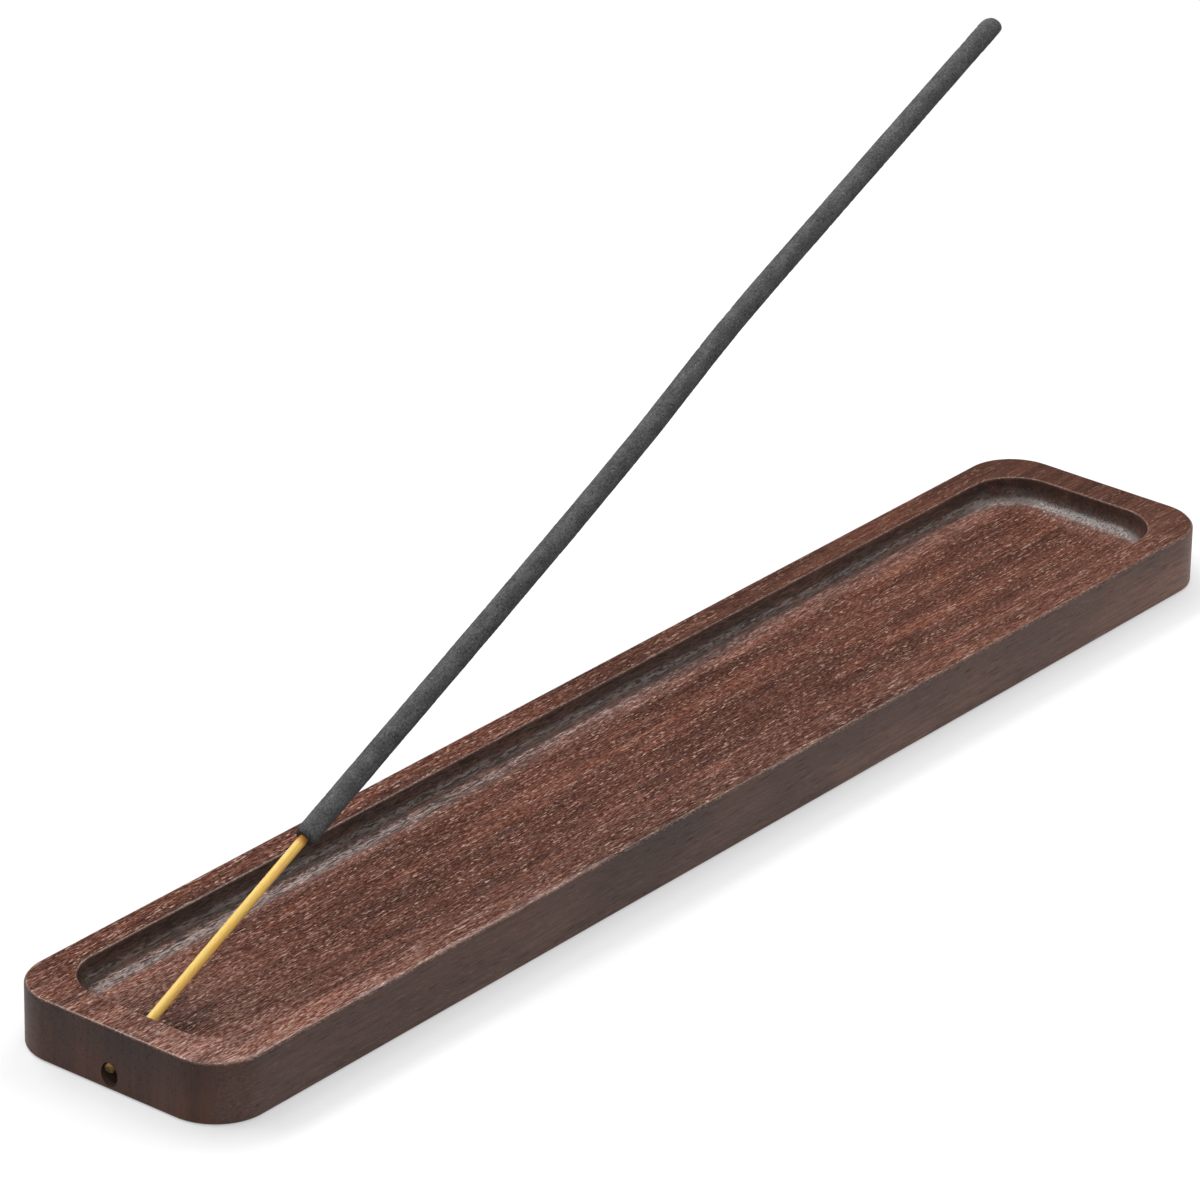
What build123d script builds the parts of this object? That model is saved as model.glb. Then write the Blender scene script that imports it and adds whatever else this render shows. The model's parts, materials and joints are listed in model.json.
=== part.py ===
from build123d import *

import os
from math import asin, cos, degrees, radians, sin

# Incense stick holder: a walnut plank with a coved ash trough, and the stick that leans in its slanted hole.
# Millimetres and degrees. +Z is up and +X runs from the stick's end to the far end.
# The origin is on the underside, in the middle of the plank.

# Plank
TRAY_LENGTH = 235.0
TRAY_WIDTH = 40.9
TRAY_HEIGHT = 9.6
CORNER_RADIUS = 8.4
TOP_EASE = 0.5
UNDERSIDE_EASE = 0.4

# Ash trough, cut with a round-nosed cutter that leaves a cove round the floor
SIDE_RIM = 4.7
END_RIM = 6.0
TROUGH_DEPTH = 4.2
TROUGH_CORNER_RADIUS = 8.0
COVE_RADIUS = 3.0
RIM_EASE = 0.4

# Hole for the stick, drilled from the end face up into the trough
HOLE_DIAMETER = 3.0
HOLE_TILT = 35.6
HOLE_MOUTH_HEIGHT = 2.36

# Stick
SPLINT_DIAMETER = 1.5
BARE_LENGTH = 45.1
COAT_LENGTH = 175.0
COAT_FOOT_DIAMETER = 3.3
COAT_TIP_DIAMETER = 3.13
COAT_TIP_ROUND = 1.2
COAT_FOOT_ROUND = 0.35
TIP_COVER = 3.0
SEAT_GAP = 0.13
STICK_OUT = 0.15

os.makedirs("parts", exist_ok=True)

end_face_x = -TRAY_LENGTH / 2
floor_height = TRAY_HEIGHT - TROUGH_DEPTH

# The trough's hollow, taken out of the plank below
with BuildPart() as trough:
    with BuildSketch(Plane.XY.offset(floor_height)):
        RectangleRounded(TRAY_LENGTH - 2 * END_RIM, TRAY_WIDTH - 2 * SIDE_RIM, TROUGH_CORNER_RADIUS)
    extrude(amount=TROUGH_DEPTH)
    fillet(trough.faces().sort_by(Axis.Z)[0].edges(), COVE_RADIUS)

hole_direction = Vector(cos(radians(HOLE_TILT)), 0, sin(radians(HOLE_TILT)))
hole_mouth = Vector(end_face_x, 0, HOLE_MOUTH_HEIGHT)
hole_reach = END_RIM + TRAY_HEIGHT

with BuildPart() as tray:
    with BuildSketch():
        RectangleRounded(TRAY_LENGTH, TRAY_WIDTH, CORNER_RADIUS)
    extrude(amount=TRAY_HEIGHT)
    fillet(tray.faces().sort_by(Axis.Z)[-1].edges(), TOP_EASE)
    fillet(tray.faces().sort_by(Axis.Z)[0].edges(), UNDERSIDE_EASE)
    add(trough.part, mode=Mode.SUBTRACT)
    rim_face = tray.faces().filter_by(Axis.Z).sort_by(Axis.Z)[-1]
    fillet(rim_face.inner_wires()[0].edges(), RIM_EASE)
    with BuildSketch(Plane(origin=hole_mouth, z_dir=hole_direction)):
        Circle(HOLE_DIAMETER / 2)
    extrude(amount=hole_reach, both=True, mode=Mode.SUBTRACT)

# The splint bears on two places in the loose hole: the roof of the mouth in the end face,
# and the lip where the hole's floor comes out through the cove.
mouth_rise = HOLE_DIAMETER / 2 / cos(radians(HOLE_TILT))
mouth_roof = hole_mouth + Vector(0, 0, mouth_rise)
mouth_floor = hole_mouth - Vector(0, 0, mouth_rise)
hole_floor_line = Edge.make_line(mouth_floor, mouth_floor + hole_direction * hole_reach)
lip = Vector(*(hole_floor_line & trough.part).vertices().sort_by(Axis.X)[0])

# Its axis runs midway between the two, turned so that it clears each by the same gap.
bearing_span = lip - mouth_roof
bearing_slope = Vector(1, 0, 0).get_angle(bearing_span)
stick_lean = bearing_slope + degrees(asin((SPLINT_DIAMETER + 2 * SEAT_GAP) / bearing_span.length))
stick_direction = Vector(cos(radians(stick_lean)), 0, sin(radians(stick_lean)))
stick_middle = (mouth_roof + lip) / 2

# The splint's cut end shows in the hole's mouth and stands a little out of it.
cut_end_x = end_face_x - STICK_OUT
cut_end = stick_middle + stick_direction * ((cut_end_x - stick_middle.X) / stick_direction.X)
stick_plane = Plane(origin=cut_end, x_dir=stick_direction, z_dir=(0, -1, 0))
stick_axis = Axis(cut_end, stick_direction)

splint_length = BARE_LENGTH + COAT_LENGTH - TIP_COVER
coat_end = BARE_LENGTH + COAT_LENGTH

with BuildPart() as bamboo_splint:
    with BuildSketch(Plane(origin=cut_end, z_dir=stick_direction)):
        Circle(SPLINT_DIAMETER / 2)
    extrude(amount=splint_length)

# The coat is a long thin cone with a bore for the splint, closed and round at the tip.
with BuildPart() as incense_coat:
    with BuildSketch(stick_plane):
        with BuildLine():
            Polyline(
                (BARE_LENGTH, SPLINT_DIAMETER / 2),
                (BARE_LENGTH, COAT_FOOT_DIAMETER / 2),
                (coat_end, COAT_TIP_DIAMETER / 2),
                (coat_end, 0),
                (splint_length, 0),
                (splint_length, SPLINT_DIAMETER / 2),
                close=True,
            )
        make_face()
    revolve(axis=stick_axis)
    tip_rings = incense_coat.edges().filter_by(GeomType.CIRCLE).group_by(stick_axis)[-1]
    fillet(tip_rings, COAT_TIP_ROUND)
    foot_rings = incense_coat.edges().filter_by(GeomType.CIRCLE).group_by(stick_axis)[0]
    fillet(foot_rings.sort_by(SortBy.RADIUS)[-1], COAT_FOOT_ROUND)

tray.part.label = "tray"
bamboo_splint.part.label = "bamboo_splint"
incense_coat.part.label = "incense_coat"
export_step(tray.part, "parts/tray.step")
export_step(bamboo_splint.part, "parts/bamboo_splint.step")
export_step(incense_coat.part, "parts/incense_coat.step")

print("The stick slides along", stick_direction)
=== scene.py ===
import json
from math import atan, cos, pi, radians, sin
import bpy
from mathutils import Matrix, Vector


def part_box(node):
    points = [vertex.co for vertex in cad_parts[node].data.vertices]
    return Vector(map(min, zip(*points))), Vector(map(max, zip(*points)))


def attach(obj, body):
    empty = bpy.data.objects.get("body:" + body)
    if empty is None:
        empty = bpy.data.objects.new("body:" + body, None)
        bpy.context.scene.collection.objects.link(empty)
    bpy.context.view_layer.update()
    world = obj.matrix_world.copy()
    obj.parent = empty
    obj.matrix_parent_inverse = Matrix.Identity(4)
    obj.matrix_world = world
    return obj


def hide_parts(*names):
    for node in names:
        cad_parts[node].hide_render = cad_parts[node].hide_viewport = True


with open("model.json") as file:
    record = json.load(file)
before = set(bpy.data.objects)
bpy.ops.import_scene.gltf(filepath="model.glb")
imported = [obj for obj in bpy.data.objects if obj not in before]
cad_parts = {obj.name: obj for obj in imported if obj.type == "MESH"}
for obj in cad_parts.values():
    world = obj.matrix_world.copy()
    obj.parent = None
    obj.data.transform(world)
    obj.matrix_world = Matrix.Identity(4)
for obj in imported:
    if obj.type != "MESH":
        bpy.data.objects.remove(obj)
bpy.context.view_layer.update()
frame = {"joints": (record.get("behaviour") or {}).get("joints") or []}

from types import SimpleNamespace

import bpy
import numpy as np
from mathutils import Matrix, Vector, noise

# Incense stick holder: a walnut tray with a coved ash trough, and the stick that leans in its slanted hole.
# Metres. +Z is up and +X runs from the stick's end to the far end.

MM = 0.001

# Tray
tray_low, tray_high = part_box("tray")
HALF_LENGTH = (tray_high.x - tray_low.x) / 2
HALF_WIDTH = (tray_high.y - tray_low.y) / 2
HEIGHT = tray_high.z
CORNER_RADIUS = 8.4 * MM
TOP_EASE = 0.5 * MM
TOP_RUB = 0.9 * MM
UNDERSIDE_EASE = 0.4 * MM
SIDE_RIM = 4.7 * MM
END_RIM = 6.0 * MM
TROUGH_DEPTH = 4.2 * MM
TROUGH_CORNER_RADIUS = 8.0 * MM
COVE_REACH = 3.2 * MM
COVE_RISE = 2.85 * MM
TAIL_REACH = 2.0 * MM
TAIL_SLOPE = 0.17
RIM_EASE = 0.24 * MM
HOLE_RADIUS = 1.5 * MM
HOLE_TILT = radians(35.6)
HOLE_MOUTH_HEIGHT = 2.36 * MM
HOLE_REACH = END_RIM + HEIGHT
FLOOR_HEIGHT = HEIGHT - TROUGH_DEPTH

# Centres of the round corners, of the plank and of the trough
PLANK_CENTRES = (HALF_LENGTH - CORNER_RADIUS, HALF_WIDTH - CORNER_RADIUS)
TROUGH_CENTRES = (
    HALF_LENGTH - END_RIM - TROUGH_CORNER_RADIUS,
    HALF_WIDTH - SIDE_RIM - TROUGH_CORNER_RADIUS,
)

# How far the hand-sanded surfaces wander from true
SIDE_WANDER = 0.03 * MM
RIM_WANDER = 0.05 * MM
FLOOR_WANDER = 0.03 * MM
COVE_WANDER = 0.15
COVE_RIPPLE = 0.07

# The size of those swells, and the shift that sets them apart from each other
SIDE_SWELL = (22 * MM, 3.1)
RIM_SWELL = (9 * MM, 8.7)
FLOOR_SWELL = (7 * MM, 1.7)
COVE_SWELL = (11 * MM, 5.3)
COVE_RIPPLE_SWELL = (4 * MM, 2.9)
RUB_SWELL = (13 * MM, 6.1)

# Mesh steps round the tray's plan, and where its loops lie
SIDE_STEPS = 210
END_STEPS = 24
CORNER_STEPS = 20
HOLE_STEPS = 64
UNDERSIDE_RADII = (1.0 * MM, 4.0 * MM, CORNER_RADIUS - 2 * UNDERSIDE_EASE)
UNDERSIDE_EASE_RINGS = 6
SIDE_RINGS = 10
TOP_EASE_RINGS = 9
RIM_SHARES = (0.06, 0.28, 0.5, 0.72, 0.94)
RIM_EASE_RINGS = 7
WALL_SHARES = (0.25, 0.5, 0.75)
COVE_RINGS = 19
TAIL_SHARES = (0.15, 0.3, 0.45, 0.6, 0.8, 1.0)
FLOOR_RADIUS = 1.0 * MM
SHARP_ANGLE = radians(50)
WEAR_AND_GLINT_SHARPNESS = 4

# Stick
STICK_DIRECTION = Vector(frame["joints"][0]["axis"]).normalized()
STICK_LIFT = Vector((-STICK_DIRECTION.z, 0, STICK_DIRECTION.x))
STICK_SIDE = Vector((0, 1, 0))
splint_low, splint_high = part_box("bamboo_splint")
SPLINT_RADIUS = (splint_high.y - splint_low.y) / 2
CUT_END = Vector((
    splint_low.x + SPLINT_RADIUS * STICK_DIRECTION.z,
    0,
    splint_low.z + SPLINT_RADIUS * STICK_DIRECTION.x,
))
BARE_LENGTH = 45.1 * MM
SPLINT_LENGTH = 217.1 * MM
SPLINT_STEPS = 56
SPLINT_SPACING = 0.6 * MM
HIDDEN_RINGS = 90
RIDGE_DEPTH = 0.030 * MM
EDGE_BREAK = 0.16 * MM
CUT_SHARES = (0.25, 0.55, 0.8)
CUT_DISH = 0.03 * MM
CUT_ROUGHNESS = 0.05 * MM

# Paste on the stick
COAT_END = 219.9 * MM
COAT_FOOT_RADIUS = 1.65 * MM
COAT_TIP_RADIUS = 1.565 * MM
COAT_BORE = SPLINT_RADIUS + 0.01 * MM
COAT_BORE_DEPTH = 0.25 * MM
COAT_FOOT_ROUND = 0.32 * MM
COAT_FOOT_REACH = 0.9 * MM
COAT_FOOT_RAGGED = 0.22 * MM
COAT_FOOT_SHARES = (0.15, 0.4, 0.65, 0.85)
COAT_TIP_RINGS = 11
COAT_FACE_SHARES = (0.8, 0.6, 0.4, 0.2)
COAT_FACE_BULGE = 0.10 * MM
COAT_SPACING = 0.17 * MM
COAT_STEPS = 88
COAT_TURNS = [2 * pi * k / COAT_STEPS for k in range(COAT_STEPS)]

# The stick isn't quite straight: distance along it, and how far it bows up and to the back there
STICK_BOW = (
    (0.0, 0.0),
    (28.0 * MM, 0.03 * MM),
    (60.0 * MM, -0.10 * MM),
    (103.0 * MM, -0.24 * MM),
    (127.0 * MM, -0.08 * MM),
    (152.0 * MM, 0.58 * MM),
    (176.0 * MM, 0.32 * MM),
    (198.0 * MM, -0.03 * MM),
    (COAT_END, -0.40 * MM),
)
BOW_DIRECTION = (STICK_LIFT + STICK_SIDE).normalized()

# Where the rim takes over from the trough: across the tray, along it, and in height
RIM_FROM_Y = (15.9 * MM, 16.3 * MM)
RIM_FROM_X = (111.7 * MM, 112.1 * MM)
RIM_FROM_Z = (HEIGHT - 0.5 * MM, HEIGHT - 0.2 * MM)

# Walnut: its tones in bands and zones, then those of its lighter, darker and greyer places, some of them
# painted shade, highlights, reflections and glints
WALNUT_DARK = (0.0870, 0.0303, 0.0172)
WALNUT_LIGHT = (0.137, 0.0502, 0.0300)
WALNUT_ZONE = (0.0680, 0.0238, 0.0138)
WALNUT_NEAR_SIDE = (0.172, 0.0720, 0.0470)
WALNUT_PALE = (0.212, 0.108, 0.080)
# Painted highlight glow on the floor by the trough's walls
WALNUT_PAINTED_GLOW_BY_WALL = (0.250, 0.114, 0.080)
# Painted highlight on the cove's tilted foot
WALNUT_PAINTED_COVE_FOOT_HIGHLIGHT = (0.34, 0.155, 0.108)
# Painted shade on the floor round the stick's foot
WALNUT_PAINTED_SHADE_BY_STICK = (0.044, 0.018, 0.011)
WALNUT_NEAR_RIM = (0.080, 0.033, 0.021)
WALNUT_FAR_RIM = (0.074, 0.028, 0.017)
# Painted floor reflection that greys the tray's long sides
WALNUT_SIDE_PAINTED_SHEEN = (0.082, 0.052, 0.042)
# Ash grey on the trough's walls, darkened with painted shade
ASH_AND_SHADE_BROWN = (0.040, 0.026, 0.019)
ASH_AND_SHADE_GREY = (0.026, 0.027, 0.025)
# Painted highlight: the pale band where the trough's cove mirrors the lamps
PAINTED_COVE_HIGHLIGHT = (0.30, 0.28, 0.265)
# Pale flecks painted as glints off the pores' edges
FLECK_GLINT = (0.60, 0.375, 0.295)
PORE = (0.044, 0.013, 0.006)
PIT = (0.030, 0.018, 0.013)
# Pale edges: wear, and painted glints on the eased edges
WORN_EDGE_AND_GLINT = (0.44, 0.32, 0.26)
DRILLED_DARK = (0.022, 0.011, 0.007)
DRILLED_LIGHT = (0.055, 0.028, 0.016)

# What the grain and the streaks multiply a tone by, at their lowest and highest
GRAIN_LOW = (0.62, 0.36, 0.25)
GRAIN_HIGH = (1.90, 2.40, 2.75)
STREAK_LOW = (1.18, 1.34, 1.42)
STREAK_HIGH = (0.84, 0.62, 0.54)

# Bamboo and charcoal paste
BAMBOO_GOLD = (0.98, 0.575, 0.125)
BAMBOO_PALE = (1.0, 0.715, 0.27)
BAMBOO_CLOUD = (0.99, 0.62, 0.12)
BAMBOO_DASH = (0.42, 0.24, 0.06)
# Painted shade: the splint's lower side, away from the lamps
BAMBOO_PAINTED_SHADE_SIDE = (0.95, 0.50, 0.075)
BAMBOO_STAIN = (0.46, 0.17, 0.02)
# Painted shade on the splint's end in the hole, and on its cut face
BAMBOO_HOLE_SHADE = (0.12, 0.060, 0.010)
BAMBOO_SHADED_CUT = (0.15, 0.070, 0.010)
BAMBOO_SHADED_MIDDLE = (0.045, 0.018, 0.003)
PASTE_DARK = (0.078, 0.0765, 0.079)
PASTE_LIGHT = (0.116, 0.1135, 0.117)
PASTE_GRIT = (0.34, 0.33, 0.33)
PASTE_PIT = (0.022, 0.022, 0.023)
# Painted shade on the paste's foot
PASTE_FOOT_SHADE = (0.030, 0.030, 0.030)

# Camera: where it looks, how far away it stands and how it is turned
CAMERA_TARGET = Vector((-4.630 * MM, 5.517 * MM, 32.274 * MM))
CAMERA_DISTANCE = 1080.1 * MM
CAMERA_AZIMUTH = radians(-51.675)
CAMERA_ELEVATION = radians(25.502)
CAMERA_ROLL = radians(1.110)
CAMERA_LENS = 222.19
CAMERA_SENSOR = 36.0

# Studio: the floor, how strongly it glows white near the object and far from it, and the lamps
FLOOR_SIZE = 20.0
FLOOR_DROP = 0.1 * MM
FLOOR_SHEET = (0.55, 0.55, 0.555, 1)
FLOOR_CARD = (0.27, 0.27, 0.27, 1)
FLOOR_ROUGHNESS = 0.55
FLOOR_GLOSS = 0.3
GLOW_NEAR = 0.41
GLOW_FAR = 0.90
GLOW_RISE = (0.35, 1.6)
WORLD_LEVEL = 0.12
WHITE = (1, 1, 1, 1)
# Name, place, width and height, radiance
SOFT_BOXES = (
    ("key", (-0.08, 0.47, 0.66), (0.76, 0.20), 8.3),
    ("overhead", (-0.31, 0.18, 0.72), (0.22, 0.18), 7.0),
    ("side_glow", (0.265, 0.065, 0.41), (0.36, 0.20), 3.5),
    ("side_panel", (0.56, -0.12, 0.48), (0.45, 0.30), 0.5),
    ("top", (-0.16, -0.13, 0.78), (0.20, 0.20), 4.5),
    ("corner_glow", (0.20, 0.01, 0.78), (0.16, 0.16), 3.0),
    ("front", (-0.56, -0.52, 0.50), (0.60, 0.60), 1.9),
    ("fill", (0.50, -0.43, 0.26), (0.25, 0.27), 4.1),
)


def wander(points, size, shift):
    """Smooth noise between about -1 and 1 at each point, with swells about this size."""
    move = Vector((shift, shift, shift))
    return np.array([noise.noise(Vector(p) / size + move) for p in points])


def round_noise(turn, reach, level):
    """Smooth noise round a circle of this reach, at this level."""
    return noise.noise(Vector((reach * cos(turn), reach * sin(turn), level)))


def new_piece(name, vertices, faces):
    """A mesh object in the scene, shaded smooth."""
    mesh = bpy.data.meshes.new(name)
    mesh.from_pydata([tuple(v) for v in vertices], [], faces)
    mesh.validate()
    mesh.shade_smooth()
    piece = bpy.data.objects.new(name, mesh)
    bpy.context.scene.collection.objects.link(piece)
    return piece


class Plan:
    """Steps round a rounded rectangle: the share of the corner centre's place, and the outward direction."""

    def __init__(self):
        corners = ((1, 1), (-1, 1), (-1, -1), (1, -1))
        steps = []
        for turn, (sx, sy) in enumerate(corners):
            nx, ny = corners[(turn + 1) % 4]
            for i in range(CORNER_STEPS):
                steps.append((sx, sy, (turn + i / CORNER_STEPS) * pi / 2))
            straight = SIDE_STEPS if sy == ny else END_STEPS
            for i in range(straight):
                t = i / straight
                steps.append((sx + (nx - sx) * t, sy + (ny - sy) * t, (turn + 1) * pi / 2))
        table = np.array(steps)
        self.u = table[:, 0]
        self.v = table[:, 1]
        self.out = np.stack([np.cos(table[:, 2]), np.sin(table[:, 2])], axis=1)
        self.count = len(table)

    def ring(self, centre, radius, height):
        """One loop of points at this height. Radius and height are one number or one a step."""
        points = np.empty((self.count, 3))
        points[:, 0] = self.u * centre[0] + radius * self.out[:, 0]
        points[:, 1] = self.v * centre[1] + radius * self.out[:, 1]
        points[:, 2] = height
        return points

    def cap_grid(self, centre, height):
        """A grid of points over the rectangle between the corner centres, row by row."""
        x = np.linspace(1, -1, SIDE_STEPS + 1) * centre[0]
        y = np.linspace(1, -1, END_STEPS + 1) * centre[1]
        gx, gy = np.meshgrid(x, y, indexing="ij")
        return np.stack([gx.ravel(), gy.ravel(), np.full(gx.size, height)], axis=1)

    def cap_border(self):
        """For each step, the grid point that it is joined to."""
        i = np.rint((1 - self.u) / 2 * SIDE_STEPS).astype(int)
        j = np.rint((1 - self.v) / 2 * END_STEPS).astype(int)
        return i * (END_STEPS + 1) + j


def cap_faces(plan, ring_start, grid_start, flip):
    """Faces of the grid, and those that join it to the ring round it."""
    faces = []
    row = END_STEPS + 1
    for i in range(SIDE_STEPS):
        for j in range(END_STEPS):
            a = grid_start + i * row + j
            faces.append((a, a + row, a + row + 1, a + 1))
    border = plan.cap_border()
    for k in range(plan.count):
        m = (k + 1) % plan.count
        p = grid_start + border[k]
        q = grid_start + border[m]
        edge = (ring_start + k, ring_start + m)
        faces.append(edge + ((p,) if p == q else (q, p)))
    return [f[::-1] for f in faces] if flip else faces


def rubbed_share(outline):
    """How far the plank's top edge is rubbed rounder, from 0 to 1: in patches, and at the near corner."""
    patches = np.clip(wander(outline, *RUB_SWELL) * 2.0 - 0.1, 0, 1)
    near_corner = np.hypot(outline[:, 0] + HALF_LENGTH, outline[:, 1] + HALF_WIDTH)
    return np.maximum(patches, np.clip(1.2 - near_corner / (11 * MM), 0, 0.7))


def outside_rings(plan):
    """Loops from the underside, round its edge and up the sides to the rim's flat top."""
    outline = plan.ring(PLANK_CENTRES, CORNER_RADIUS, 0.0)
    radius = CORNER_RADIUS + SIDE_WANDER * (wander(outline, *SIDE_SWELL) - 1)
    rings = [plan.ring(PLANK_CENTRES, flat, 0.0) for flat in UNDERSIDE_RADII]
    for turn in np.linspace(0, pi / 2, UNDERSIDE_EASE_RINGS):
        inset = UNDERSIDE_EASE * (1 - sin(turn))
        rings.append(plan.ring(PLANK_CENTRES, radius - inset, UNDERSIDE_EASE * (1 - cos(turn))))
    for height in np.linspace(UNDERSIDE_EASE, HEIGHT - TOP_EASE, SIDE_RINGS)[1:-1]:
        rings.append(plan.ring(PLANK_CENTRES, radius, height))
    # Only the edge of the near side is rubbed
    top_reach = TOP_EASE + TOP_RUB * rubbed_share(outline) * np.clip(-2 * plan.out[:, 1], 0, 1)
    for turn in np.linspace(0, pi / 2, TOP_EASE_RINGS):
        inset = top_reach * (1 - cos(turn))
        rings.append(plan.ring(PLANK_CENTRES, radius - inset, HEIGHT - TOP_EASE * (1 - sin(turn))))
    return rings


def rim_rings(plan, outside, radius):
    """Loops over the rim's flat top, and round the eased edge where the trough begins."""
    inside = plan.ring(TROUGH_CENTRES, radius + RIM_EASE, HEIGHT)
    rings = [outside + (inside - outside) * share for share in RIM_SHARES]
    for turn in np.linspace(0, pi / 2, RIM_EASE_RINGS):
        inset = RIM_EASE * (1 - sin(turn))
        rings.append(plan.ring(TROUGH_CENTRES, radius + inset, HEIGHT - RIM_EASE * (1 - cos(turn))))
    return rings


def trough_rings(plan, outline, radius):
    """Loops down the trough's wall, round its cove and along the cove's shallow tail to the floor."""
    swell = 1 + COVE_WANDER * wander(outline, *COVE_SWELL)
    swell += COVE_RIPPLE * wander(outline, *COVE_RIPPLE_SWELL)
    reach = COVE_REACH * swell
    rise = COVE_RISE * swell
    # The tail takes over where the cove has the tail's own slope
    last_turn = atan(COVE_RISE / COVE_REACH / TAIL_SLOPE)
    tail_rise = TAIL_SLOPE * TAIL_REACH / 2
    wall_top = HEIGHT - RIM_EASE
    cove_top = FLOOR_HEIGHT + tail_rise + rise * sin(last_turn)
    rings = []
    for share in WALL_SHARES:
        rings.append(plan.ring(TROUGH_CENTRES, radius, wall_top + (cove_top - wall_top) * share))
    for turn in np.linspace(0, last_turn, COVE_RINGS):
        rings.append(plan.ring(TROUGH_CENTRES, radius - reach * (1 - cos(turn)), cove_top - rise * sin(turn)))
    cove_foot = radius - reach * (1 - cos(last_turn))
    for share in TAIL_SHARES:
        height = FLOOR_HEIGHT + tail_rise * (1 - share) ** 2
        rings.append(plan.ring(TROUGH_CENTRES, cove_foot - TAIL_REACH * share, height))
    rings.append(plan.ring(TROUGH_CENTRES, FLOOR_RADIUS, FLOOR_HEIGHT))
    return rings


def tray_rings(plan):
    """All loops of the plank, from its underside over the rim and down to the trough's floor."""
    trough_outline = plan.ring(TROUGH_CENTRES, TROUGH_CORNER_RADIUS, 0.0)
    trough_radius = TROUGH_CORNER_RADIUS + RIM_WANDER * wander(trough_outline, *RIM_SWELL)
    outside = outside_rings(plan)
    rim = rim_rings(plan, outside[-1], trough_radius)
    return outside + rim + trough_rings(plan, trough_outline, trough_radius)


def tray_mesh():
    """The plank with its trough, before the hole is drilled."""
    plan = Plan()
    rings = tray_rings(plan)
    underside = plan.cap_grid(PLANK_CENTRES, 0.0)
    trough_floor = plan.cap_grid(TROUGH_CENTRES, FLOOR_HEIGHT)
    vertices = np.concatenate(rings + [underside, trough_floor])
    underside_start = len(rings) * plan.count
    floor_start = underside_start + len(underside)

    # The floor isn't dead flat
    level = vertices[:, 2]
    uneven = (level > FLOOR_HEIGHT - COVE_RISE) & (level < FLOOR_HEIGHT + COVE_RISE)
    vertices[uneven, 2] += FLOOR_WANDER * wander(vertices[uneven] * (0.5, 1, 1), *FLOOR_SWELL)

    faces = cap_faces(plan, 0, underside_start, True)
    for r in range(len(rings) - 1):
        for k in range(plan.count):
            a = r * plan.count + k
            b = r * plan.count + (k + 1) % plan.count
            faces.append((a, b, b + plan.count, a + plan.count))
    faces += cap_faces(plan, (len(rings) - 1) * plan.count, floor_start, False)
    return new_piece("walnut_tray", vertices, faces)


def hole_cutter():
    """The drill that cuts the slanted hole."""
    along = Vector((cos(HOLE_TILT), 0, sin(HOLE_TILT)))
    lift = Vector((-along.z, 0, along.x))
    side = Vector((0, 1, 0))
    mouth = Vector((-HALF_LENGTH, 0, HOLE_MOUTH_HEIGHT))
    steps = HOLE_STEPS
    vertices = []
    for reach in (-HOLE_REACH, HOLE_REACH):
        for k in range(steps):
            turn = 2 * pi * k / steps
            vertices.append(mouth + along * reach + (lift * cos(turn) + side * sin(turn)) * HOLE_RADIUS)
    faces = [tuple(range(steps)), tuple(range(2 * steps - 1, steps - 1, -1))]
    for k in range(steps):
        m = (k + 1) % steps
        faces.append((k, k + steps, m + steps, m))
    return new_piece("drill", vertices, faces)


def drill(piece, cutter):
    """Cuts the drill's shape out of the piece, and removes the drill."""
    cut = piece.modifiers.new("hole", "BOOLEAN")
    cut.operation = "DIFFERENCE"
    cut.solver = "EXACT"
    cut.object = cutter
    cut.material_mode = "TRANSFER"
    graph = bpy.context.evaluated_depsgraph_get()
    drilled = bpy.data.meshes.new_from_object(piece.evaluated_get(graph))
    piece.modifiers.clear()
    piece.data = drilled
    bpy.data.objects.remove(cutter)


def rectangle_distance(x, y, half_length, half_width, radius):
    """How far each point lies outside a rounded rectangle, less than zero inside it."""
    dx = np.abs(x) - (half_length - radius)
    dy = np.abs(y) - (half_width - radius)
    beyond = np.hypot(np.maximum(dx, 0), np.maximum(dy, 0))
    return beyond + np.minimum(np.maximum(dx, dy), 0) - radius


def mark_edge_wear_and_glint(piece):
    """Stores how exposed each point of the rim's eased edges is, from 0 to 1."""
    points = np.empty(len(piece.data.vertices) * 3)
    piece.data.vertices.foreach_get("co", points)
    x, y, z = points.reshape(-1, 3).T
    outside = rectangle_distance(x, y, HALF_LENGTH, HALF_WIDTH, CORNER_RADIUS)
    trough = rectangle_distance(
        x, y, HALF_LENGTH - END_RIM, HALF_WIDTH - SIDE_RIM, TROUGH_CORNER_RADIUS)
    high = HEIGHT - z < TOP_EASE
    outer_edge = np.clip(1 + outside / TOP_EASE, 0, 1) * np.clip((z - HEIGHT) / TOP_EASE + 1, 0, 1)
    inner_edge = np.clip(1 - trough / RIM_EASE, 0, 1) * np.clip((z - HEIGHT) / RIM_EASE + 1, 0, 1)
    wear_and_glint = np.where(high, np.maximum(outer_edge, np.where(trough > -RIM_EASE, inner_edge, 0)), 0)
    layer = piece.data.attributes.new("wear_and_glint", "FLOAT", "POINT")
    layer.data.foreach_set("value", np.clip(wear_and_glint * WEAR_AND_GLINT_SHARPNESS, 0, 1).astype(np.float32))


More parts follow.
